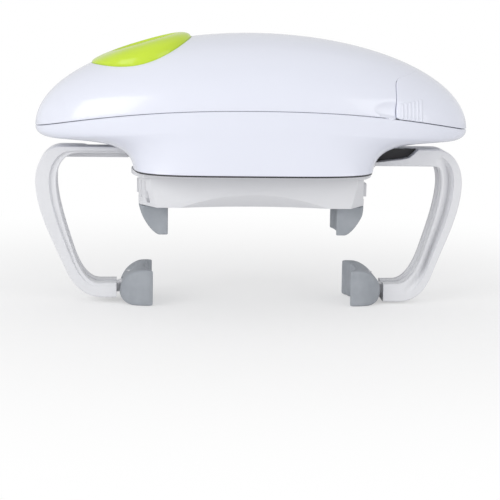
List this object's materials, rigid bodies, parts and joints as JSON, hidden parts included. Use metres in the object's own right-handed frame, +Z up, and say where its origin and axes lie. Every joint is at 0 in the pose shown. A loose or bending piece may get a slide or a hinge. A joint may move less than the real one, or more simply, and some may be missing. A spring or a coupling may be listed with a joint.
{
  "type": "electric jar opener",
  "caption": "Battery-driven jar opener: rounded housing with a start button, sliding arms with jar pads, and a turning carrier with lid jaws.",
  "frame": {"origin": "on the floor under the middle of the housing, level with the flat undersides of the two jar pads", "axes": "+X along the housing towards the battery cover, +Y away from the side that faces the camera, +Z up"},
  "size_m": [0.2206, 0.096, 0.1377],
  "materials": {
    "white_shell": "glossy moulded white with a faint cool tint",
    "lime_button": "glossy lime green",
    "grey_plastic": "satin moulded light grey",
    "grey_rubber": "soft matt blue-grey",
    "nylon": "natural",
    "black_plastic": "satin",
    "board_green": "lacquered",
    "battery_wrap": "plain wrapper, no marking",
    "spring_steel": "bright",
    "contact_steel": "nickel plated",
    "screw_steel": "zinc plated",
    "motor_can": "plain can",
    "brass_pinion": "cut brass"
  },
  "bodies": {
    "root": {"upper_housing": "white_shell", "lower_housing": "white_shell", "base_plate": "grey_plastic", "housing_screws": "screw_steel", "ring_gear": "nylon", "gearbox_screws": "screw_steel", "motor_plate": "grey_plastic", "gear_axles": "screw_steel", "motor": "motor_can", "circuit_board": "board_green", "switch_body": "black_plastic", "battery_tray": "grey_plastic", "batteries": "battery_wrap", "battery_contacts": "contact_steel", "battery_springs": "contact_steel", "button_spring": "spring_steel"},
    "battery_cover": {"battery_cover": "white_shell"},
    "start_button": {"start_button": "lime_button"},
    "switch_plunger": {"switch_plunger": "black_plastic"},
    "turntable": {"turntable": "grey_plastic", "carrier_screws": "screw_steel", "jaw_carrier": "grey_plastic", "planet_carrier": "nylon", "planet_pins": "screw_steel", "spindle_washer": "screw_steel", "spindle_screw": "screw_steel"},
    "left_jaw": {"left_jaw_slide": "grey_plastic", "left_lid_jaw": "grey_rubber"},
    "right_jaw": {"right_jaw_slide": "grey_plastic", "right_lid_jaw": "grey_rubber"},
    "jaw_pinion": {"jaw_pinion": "nylon"},
    "planet_a": {"planet_gears_a": "nylon"},
    "planet_b": {"planet_gears_b": "nylon"},
    "planet_c": {"planet_gears_c": "nylon"},
    "sun_gear": {"sun_gear": "nylon"},
    "second_gear": {"second_gear": "nylon"},
    "first_gear": {"first_gear": "nylon"},
    "motor_pinion": {"motor_pinion": "brass_pinion"},
    "left_arm": {"left_arm": "grey_plastic"},
    "right_arm": {"right_arm": "grey_plastic"},
    "arm_pinion": {"arm_pinion": "nylon"},
    "left_pad": {"left_jar_pad": "grey_rubber", "left_pad_pin": "screw_steel"},
    "right_pad": {"right_jar_pad": "grey_rubber", "right_pad_pin": "screw_steel"}
  },
  "joints": [
    {"name": "turntable_spin", "type": "hinge", "parent": "root", "child": "turntable", "pos_m": [0, 0, 0.066], "axis": [0, 0, 1], "continuous": true},
    {"name": "planet_a_spin", "type": "hinge", "parent": "turntable", "child": "planet_a", "pos_m": [0.0135, 0, 0.084], "axis": [0, 0, 1], "continuous": true},
    {"name": "planet_b_spin", "type": "hinge", "parent": "turntable", "child": "planet_b", "pos_m": [-0.00675, 0.01169, 0.084], "axis": [0, 0, 1], "continuous": true},
    {"name": "planet_c_spin", "type": "hinge", "parent": "turntable", "child": "planet_c", "pos_m": [-0.00675, -0.01169, 0.084], "axis": [0, 0, 1], "continuous": true},
    {"name": "sun_gear_spin", "type": "hinge", "parent": "root", "child": "sun_gear", "pos_m": [0, 0, 0.09], "axis": [0, 0, 1], "continuous": true},
    {"name": "second_gear_spin", "type": "hinge", "parent": "root", "child": "second_gear", "pos_m": [-0.01838, 0.01543, 0.094], "axis": [0, 0, 1], "continuous": true},
    {"name": "first_gear_spin", "type": "hinge", "parent": "root", "child": "first_gear", "pos_m": [-0.02733, 0.00265, 0.097], "axis": [0, 0, 1], "continuous": true},
    {"name": "motor_pinion_spin", "type": "hinge", "parent": "root", "child": "motor_pinion", "pos_m": [-0.0192, -0.00548, 0.101], "axis": [0, 0, 1], "continuous": true},
    {"name": "left_arm_slide", "type": "slide", "parent": "root", "child": "left_arm", "axis": [-1, 0, 0], "range_m": [-0.028, 0.008]},
    {"name": "right_arm_slide", "type": "slide", "parent": "root", "child": "right_arm", "axis": [1, 0, 0], "range_m": [-0.028, 0.008]},
    {"name": "arm_pinion_spin", "type": "hinge", "parent": "root", "child": "arm_pinion", "pos_m": [0, 0, 0.074], "axis": [0, 0, 1], "range_deg": [-181, 53]},
    {"name": "left_jaw_slide", "type": "slide", "parent": "turntable", "child": "left_jaw", "axis": [-1, 0, 0], "range_m": [-0.027, 0.002]},
    {"name": "right_jaw_slide", "type": "slide", "parent": "turntable", "child": "right_jaw", "axis": [1, 0, 0], "range_m": [-0.027, 0.002]},
    {"name": "jaw_pinion_spin", "type": "hinge", "parent": "turntable", "child": "jaw_pinion", "pos_m": [0, 0, 0.059], "axis": [0, 0, 1], "range_deg": [-325, 27]},
    {"name": "left_pad_swivel", "type": "hinge", "parent": "left_arm", "child": "left_pad", "pos_m": [-0.062, 0, 0.009], "axis": [0, 0, 1], "range_deg": [-12, 12]},
    {"name": "right_pad_swivel", "type": "hinge", "parent": "right_arm", "child": "right_pad", "pos_m": [0.062, 0, 0.009], "axis": [0, 0, 1], "range_deg": [-12, 12]},
    {"name": "button_press", "type": "slide", "parent": "root", "child": "start_button", "axis": [0.2924, 0, -0.9563], "range_m": [0, 0.0025], "stiffness_N_per_m": 300, "springref_m": -0.001, "deforming": ["button_spring"]},
    {"name": "plunger_travel", "type": "slide", "parent": "root", "child": "switch_plunger", "axis": [0.2924, 0, -0.9563], "range_m": [0, 0.0025]},
    {"name": "cover_slide", "type": "slide", "parent": "root", "child": "battery_cover", "axis": [1, 0, 0], "range_m": [0, 0.035]}
  ],
  "couplings": [
    {"joint": "planet_a_spin", "follows": "turntable_spin", "ratio": -2.8},
    {"joint": "planet_b_spin", "follows": "turntable_spin", "ratio": -2.8},
    {"joint": "planet_c_spin", "follows": "turntable_spin", "ratio": -2.8},
    {"joint": "sun_gear_spin", "follows": "turntable_spin", "ratio": 4.5},
    {"joint": "second_gear_spin", "follows": "turntable_spin", "ratio": -18},
    {"joint": "first_gear_spin", "follows": "turntable_spin", "ratio": 60},
    {"joint": "motor_pinion_spin", "follows": "turntable_spin", "ratio": -216},
    {"joint": "right_arm_slide", "follows": "left_arm_slide", "ratio": 1},
    {"joint": "arm_pinion_spin", "follows": "left_arm_slide", "rad_per_m": 111.11},
    {"joint": "right_jaw_slide", "follows": "left_jaw_slide", "ratio": 1},
    {"joint": "jaw_pinion_spin", "follows": "left_jaw_slide", "rad_per_m": 208.33},
    {"joint": "plunger_travel", "follows": "button_press", "ratio": 1}
  ]
}
